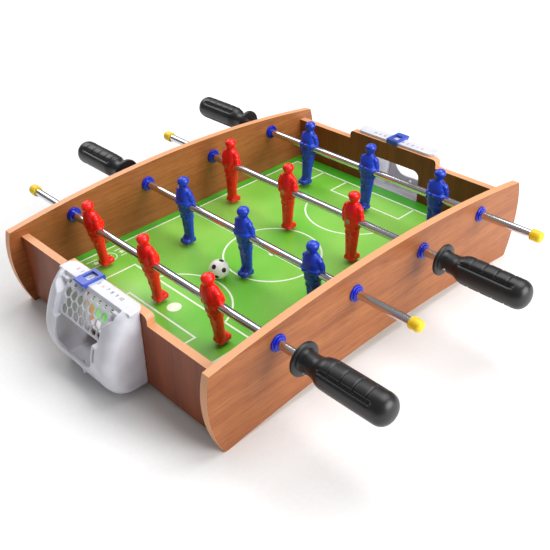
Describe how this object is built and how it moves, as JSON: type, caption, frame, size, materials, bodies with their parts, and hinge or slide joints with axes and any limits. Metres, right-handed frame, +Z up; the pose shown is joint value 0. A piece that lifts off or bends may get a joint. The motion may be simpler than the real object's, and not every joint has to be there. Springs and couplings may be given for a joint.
{
  "type": "tabletop foosball table",
  "caption": "Tabletop football game: arched wooden box with printed pitch, sliding and turning rods with moulded players, handles, score sliders and clip-on goals.",
  "frame": {"origin": "on the floor under the middle of the pitch", "axes": "+X from the left goal to the right goal, +Y along the rods from the red handles to the blue handles, +Z up"},
  "size_m": [0.4814, 0.5495, 0.1091],
  "materials": {
    "board_laminate": "wood-grain foil on fibreboard, satin",
    "pitch_print": "hardboard with a printed glossy foil",
    "batten_wood": "bare sawn pine",
    "dowel_beech": "bare turned beech",
    "goal_plastic": "moulded, white",
    "screw_steel": "zinc plated",
    "slider_plastic": "moulded, blue",
    "bushing_plastic": "moulded, deep blue",
    "rod_chrome": "chrome plated tube",
    "handle_plastic": "moulded, black, fine satin",
    "cap_plastic": "moulded, yellow",
    "red_plastic": "moulded, red",
    "blue_plastic": "moulded, blue",
    "ball_plastic": "moulded, white with black spots"
  },
  "bodies": {
    "table": {"side_board_near": "board_laminate", "side_board_far": "board_laminate", "end_board_left": "board_laminate", "end_board_right": "board_laminate", "pitch_board": "pitch_print", "batten_near": "batten_wood", "batten_far": "batten_wood", "corner_dowels": "dowel_beech", "goal_left": "goal_plastic", "goal_right": "goal_plastic", "goal_screws": "screw_steel"},
    "slider_left": {"score_slider_left": "slider_plastic"},
    "slider_right": {"score_slider_right": "slider_plastic"},
    "bushings_1": {"bushing_1_near": "bushing_plastic", "bushing_1_far": "bushing_plastic", "bushing_rings_1": "bushing_plastic"},
    "rod_set_1": {"rod_1": "rod_chrome", "handle_1": "handle_plastic", "end_cap_1": "cap_plastic", "player_1_near": "red_plastic", "player_1_middle": "red_plastic", "player_1_far": "red_plastic", "player_screws_1": "screw_steel", "handle_screw_1": "screw_steel"},
    "bushings_2": {"bushing_2_near": "bushing_plastic", "bushing_2_far": "bushing_plastic", "bushing_rings_2": "bushing_plastic"},
    "rod_set_2": {"rod_2": "rod_chrome", "handle_2": "handle_plastic", "end_cap_2": "cap_plastic", "player_2_near": "blue_plastic", "player_2_middle": "blue_plastic", "player_2_far": "blue_plastic", "player_screws_2": "screw_steel", "handle_screw_2": "screw_steel"},
    "bushings_3": {"bushing_3_near": "bushing_plastic", "bushing_3_far": "bushing_plastic", "bushing_rings_3": "bushing_plastic"},
    "rod_set_3": {"rod_3": "rod_chrome", "handle_3": "handle_plastic", "end_cap_3": "cap_plastic", "player_3_near": "red_plastic", "player_3_middle": "red_plastic", "player_3_far": "red_plastic", "player_screws_3": "screw_steel", "handle_screw_3": "screw_steel"},
    "bushings_4": {"bushing_4_near": "bushing_plastic", "bushing_4_far": "bushing_plastic", "bushing_rings_4": "bushing_plastic"},
    "rod_set_4": {"rod_4": "rod_chrome", "handle_4": "handle_plastic", "end_cap_4": "cap_plastic", "player_4_near": "blue_plastic", "player_4_middle": "blue_plastic", "player_4_far": "blue_plastic", "player_screws_4": "screw_steel", "handle_screw_4": "screw_steel"},
    "ball": {"ball": "ball_plastic"}
  },
  "joints": [
    {"name": "rod_1_spin", "type": "hinge", "parent": "table", "child": "bushings_1", "pos_m": [-0.141, 0, 0.0773], "axis": [0, 1, 0], "continuous": true},
    {"name": "rod_1_slide", "type": "slide", "parent": "bushings_1", "child": "rod_set_1", "axis": [0, 1, 0], "range_m": [-0.055, 0.021]},
    {"name": "rod_2_spin", "type": "hinge", "parent": "table", "child": "bushings_2", "pos_m": [-0.047, 0, 0.0773], "axis": [0, 1, 0], "continuous": true},
    {"name": "rod_2_slide", "type": "slide", "parent": "bushings_2", "child": "rod_set_2", "axis": [0, 1, 0], "range_m": [-0.026, 0.05]},
    {"name": "rod_3_spin", "type": "hinge", "parent": "table", "child": "bushings_3", "pos_m": [0.047, 0, 0.0773], "axis": [0, 1, 0], "continuous": true},
    {"name": "rod_3_slide", "type": "slide", "parent": "bushings_3", "child": "rod_set_3", "axis": [0, 1, 0], "range_m": [-0.0605, 0.0155]},
    {"name": "rod_4_spin", "type": "hinge", "parent": "table", "child": "bushings_4", "pos_m": [0.141, 0, 0.0773], "axis": [0, 1, 0], "continuous": true},
    {"name": "rod_4_slide", "type": "slide", "parent": "bushings_4", "child": "rod_set_4", "axis": [0, 1, 0], "range_m": [-0.028, 0.048]},
    {"name": "score_left_slide", "type": "slide", "parent": "table", "child": "slider_left", "axis": [0, 1, 0], "range_m": [-0.0505, 0.0205]},
    {"name": "score_right_slide", "type": "slide", "parent": "table", "child": "slider_right", "axis": [0, 1, 0], "range_m": [-0.0355, 0.0355]},
    {"name": "ball_lift", "type": "slide", "parent": "table", "child": "ball", "axis": [0, 0, 1], "range_m": [0, 0.08]}
  ]
}
